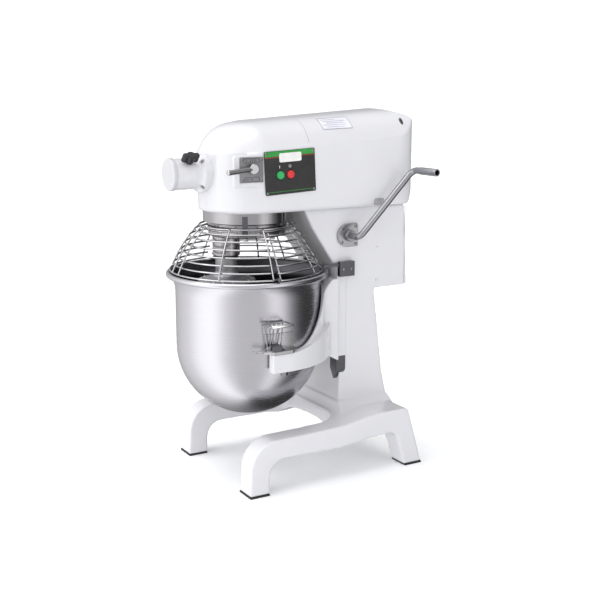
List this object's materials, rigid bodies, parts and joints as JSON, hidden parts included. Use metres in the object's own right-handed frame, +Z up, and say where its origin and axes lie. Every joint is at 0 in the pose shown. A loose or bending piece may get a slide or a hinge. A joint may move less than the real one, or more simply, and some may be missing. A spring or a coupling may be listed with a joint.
{
  "type": "commercial stand mixer",
  "caption": "Floor-or-bench planetary mixer: arched cast base, column, long rounded head, wire guard, whisk in a deep steel bowl raised by a crank.",
  "frame": {"origin": "floor plane, at the centre of the rectangle of the four foot bolt holes", "axes": "+Z up; the front of the mixer (hub and bowl) faces -Y; the controls and the lift crank are on +X; X = 0 is the plane of symmetry"},
  "size_m": [0.4284, 0.584, 0.8121],
  "materials": {
    "white_paint": "gloss",
    "black_rubber": "matte",
    "black_plastic": "satin",
    "dark_steel": "satin",
    "stainless": "satin",
    "chrome": "polished",
    "zinc_steel": "satin",
    "gear_steel": "satin",
    "aluminium": "satin",
    "bronze": "satin",
    "panel_black": "gloss",
    "green_plastic": "gloss",
    "red_plastic": "gloss"
  },
  "bodies": {
    "frame": {"base": "white_paint", "foot_pads": "black_rubber", "column": "white_paint", "slide_ways": "dark_steel", "rear_box": "white_paint", "body_screws": "zinc_steel", "head_casting": "white_paint", "front_top_cover": "white_paint", "rear_top_cover": "white_paint", "hub_body": "white_paint", "hub_cover": "white_paint", "hub_bolts": "zinc_steel", "collar_ring": "chrome", "ring_gear": "gear_steel", "control_panel": "panel_black", "panel_screws": "zinc_steel", "switch_blocks": "black_plastic", "gear_plate": "stainless", "crank_plate": "stainless", "crank_bushings": "bronze", "guard_rear": "stainless", "guard_hangers": "stainless", "guard_bracket": "zinc_steel", "motor_body": "aluminium", "motor_mount": "aluminium", "shaft_bearings": "aluminium", "drive_belt": "black_rubber"},
    "carriage": {"saddle": "white_paint", "lift_bracket": "zinc_steel", "lift_rack": "zinc_steel", "bowl_pins": "zinc_steel", "bowl": "stainless", "bowl_ears": "stainless", "clamp_bases": "chrome"},
    "crank": {"crank_shaft": "chrome", "crank_handle": "chrome", "lift_pinion": "gear_steel"},
    "rotor": {"planetary_rotor": "stainless", "rotor_bolts": "zinc_steel", "vertical_shaft": "zinc_steel", "bevel_gear": "gear_steel"},
    "agitator": {"agitator_shaft": "zinc_steel", "planet_gear": "gear_steel", "shaft_seal": "black_rubber", "whisk_hub": "stainless", "whisk_wires": "stainless"},
    "power_shaft": {"main_shaft": "zinc_steel", "bevel_pinion": "gear_steel", "main_gear": "gear_steel"},
    "input_drive": {"input_shaft": "zinc_steel", "input_gear": "gear_steel", "input_pulley": "gear_steel"},
    "motor_spindle": {"motor_rotor": "gear_steel"},
    "speed_lever": {"gear_lever": "chrome"},
    "start": {"start_button": "green_plastic"},
    "stop": {"stop_button": "red_plastic"},
    "front_guard": {"guard_front": "stainless"},
    "hub_screw": {"hub_knob": "black_plastic"},
    "clamp_right": {"bowl_clamp_right": "chrome"},
    "clamp_left": {"bowl_clamp_left": "chrome"}
  },
  "joints": [
    {"name": "bowl_lift", "type": "slide", "parent": "frame", "child": "carriage", "axis": [0, 0, 1], "range_m": [-0.05, 0]},
    {"name": "crank_turn", "type": "hinge", "parent": "frame", "child": "crank", "pos_m": [0, 0.077, 0.535], "axis": [1, 0, 0], "range_deg": [-100, 0]},
    {"name": "planetary_spin", "type": "hinge", "parent": "frame", "child": "rotor", "pos_m": [0, -0.133, 0.56], "axis": [0, 0, 1], "continuous": true},
    {"name": "agitator_spin", "type": "hinge", "parent": "rotor", "child": "agitator", "pos_m": [0, -0.185, 0.5], "axis": [0, 0, 1], "continuous": true},
    {"name": "power_shaft_spin", "type": "hinge", "parent": "frame", "child": "power_shaft", "pos_m": [0, -0.083, 0.681], "axis": [0, 1, 0], "continuous": true},
    {"name": "input_shaft_spin", "type": "hinge", "parent": "frame", "child": "input_drive", "pos_m": [-0.05196, 0.067, 0.651], "axis": [0, 1, 0], "continuous": true},
    {"name": "motor_spin", "type": "hinge", "parent": "frame", "child": "motor_spindle", "pos_m": [0.025, 0.117, 0.712], "axis": [0, 1, 0], "continuous": true},
    {"name": "gear_lever_turn", "type": "hinge", "parent": "frame", "child": "speed_lever", "pos_m": [0.11, -0.177, 0.695], "axis": [1, 0, 0], "range_deg": [-30, 30]},
    {"name": "start_button_push", "type": "slide", "parent": "frame", "child": "start", "axis": [-1, 0, 0], "range_m": [0, 0.003], "stiffness_N_per_m": 600},
    {"name": "stop_button_push", "type": "slide", "parent": "frame", "child": "stop", "axis": [-1, 0, 0], "range_m": [0, 0.003], "stiffness_N_per_m": 600},
    {"name": "guard_swing", "type": "hinge", "parent": "frame", "child": "front_guard", "pos_m": [0, -0.133, 0.5], "axis": [0, 0, 1], "range_deg": [-68, 0]},
    {"name": "hub_screw_turn", "type": "hinge", "parent": "frame", "child": "hub_screw", "pos_m": [0, -0.281, 0.681], "axis": [0.6691, 0, 0.7431], "range_deg": [-180, 180]},
    {"name": "clamp_right_swing", "type": "hinge", "parent": "carriage", "child": "clamp_right", "pos_m": [0.172, -0.159, 0.324], "axis": [0, 1, 0], "range_deg": [0, 75]},
    {"name": "clamp_left_swing", "type": "hinge", "parent": "carriage", "child": "clamp_left", "pos_m": [-0.172, -0.159, 0.324], "axis": [0, 1, 0], "range_deg": [-75, 0]}
  ],
  "couplings": [
    {"joint": "crank_turn", "follows": "bowl_lift", "rad_per_m": 34.783},
    {"joint": "agitator_spin", "follows": "planetary_spin", "ratio": -3},
    {"joint": "power_shaft_spin", "follows": "planetary_spin", "ratio": 2},
    {"joint": "input_shaft_spin", "follows": "planetary_spin", "ratio": -4},
    {"joint": "motor_spin", "follows": "planetary_spin", "ratio": -6}
  ]
}
